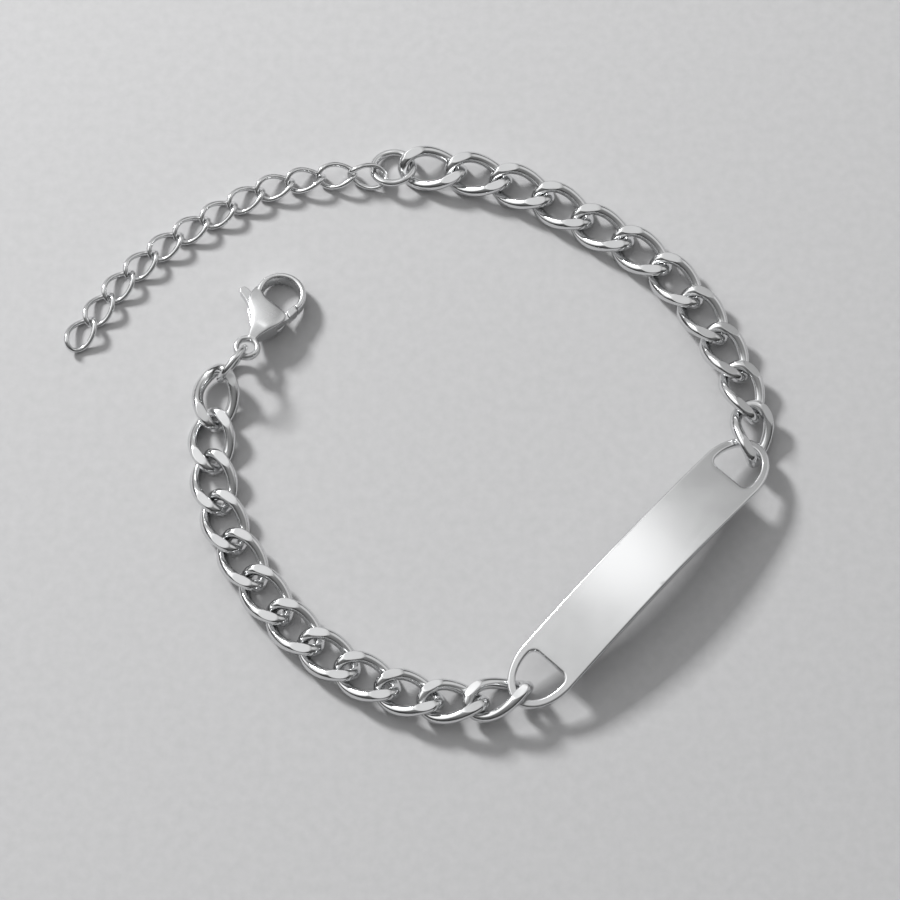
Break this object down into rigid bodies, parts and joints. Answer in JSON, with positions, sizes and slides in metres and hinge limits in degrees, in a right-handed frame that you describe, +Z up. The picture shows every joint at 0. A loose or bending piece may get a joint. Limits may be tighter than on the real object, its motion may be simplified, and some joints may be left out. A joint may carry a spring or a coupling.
{
  "type": "cuban link bracelet",
  "caption": "Curb chain bracelet with a blank identity plate, lobster clasp and extender chain, lying open",
  "frame": {"origin": "on the surface that the bracelet lies on, under the middle of its bounding box", "axes": "+Z up from the surface, +X towards the identity plate, +Y towards the jump ring"},
  "size_m": [0.0784, 0.0688, 0.0051],
  "materials": {
    "polished_steel": "polished stainless steel",
    "plate_steel": "polished stainless steel with fine wear lines",
    "pin_steel": "plain turned steel"
  },
  "bodies": {
    "bracelet": {"id_plate": "plate_steel", "right_link_01": "polished_steel", "right_link_02": "polished_steel", "right_link_03": "polished_steel", "right_link_04": "polished_steel", "right_link_05": "polished_steel", "right_link_06": "polished_steel", "right_link_07": "polished_steel", "right_link_08": "polished_steel", "right_link_09": "polished_steel", "right_link_10": "polished_steel", "right_link_11": "polished_steel", "left_link_01": "polished_steel", "left_link_02": "polished_steel", "left_link_03": "polished_steel", "left_link_04": "polished_steel", "left_link_05": "polished_steel", "left_link_06": "polished_steel", "left_link_07": "polished_steel", "left_link_08": "polished_steel", "left_link_09": "polished_steel", "left_link_10": "polished_steel", "left_link_11": "polished_steel", "left_link_12": "polished_steel", "jump_ring": "polished_steel", "extender_link_01": "polished_steel", "extender_link_02": "polished_steel", "extender_link_03": "polished_steel", "extender_link_04": "polished_steel", "extender_link_05": "polished_steel", "extender_link_06": "polished_steel", "extender_link_07": "polished_steel", "extender_link_08": "polished_steel", "extender_link_09": "polished_steel", "extender_link_10": "polished_steel", "extender_link_11": "polished_steel", "extender_link_12": "polished_steel", "connector_ring": "polished_steel", "clasp_body": "polished_steel", "clasp_pin": "pin_steel"},
    "lever": {"clasp_lever": "polished_steel"}
  },
  "joints": [
    {"name": "clasp_lever_hinge", "type": "hinge", "parent": "bracelet", "child": "lever", "pos_m": [-0.01711, 0.01155, 0.00195], "axis": [0.0709, 0.1317, 0.9888], "range_deg": [0, 35], "stiffness_Nm_per_rad": 0.0125}
  ]
}
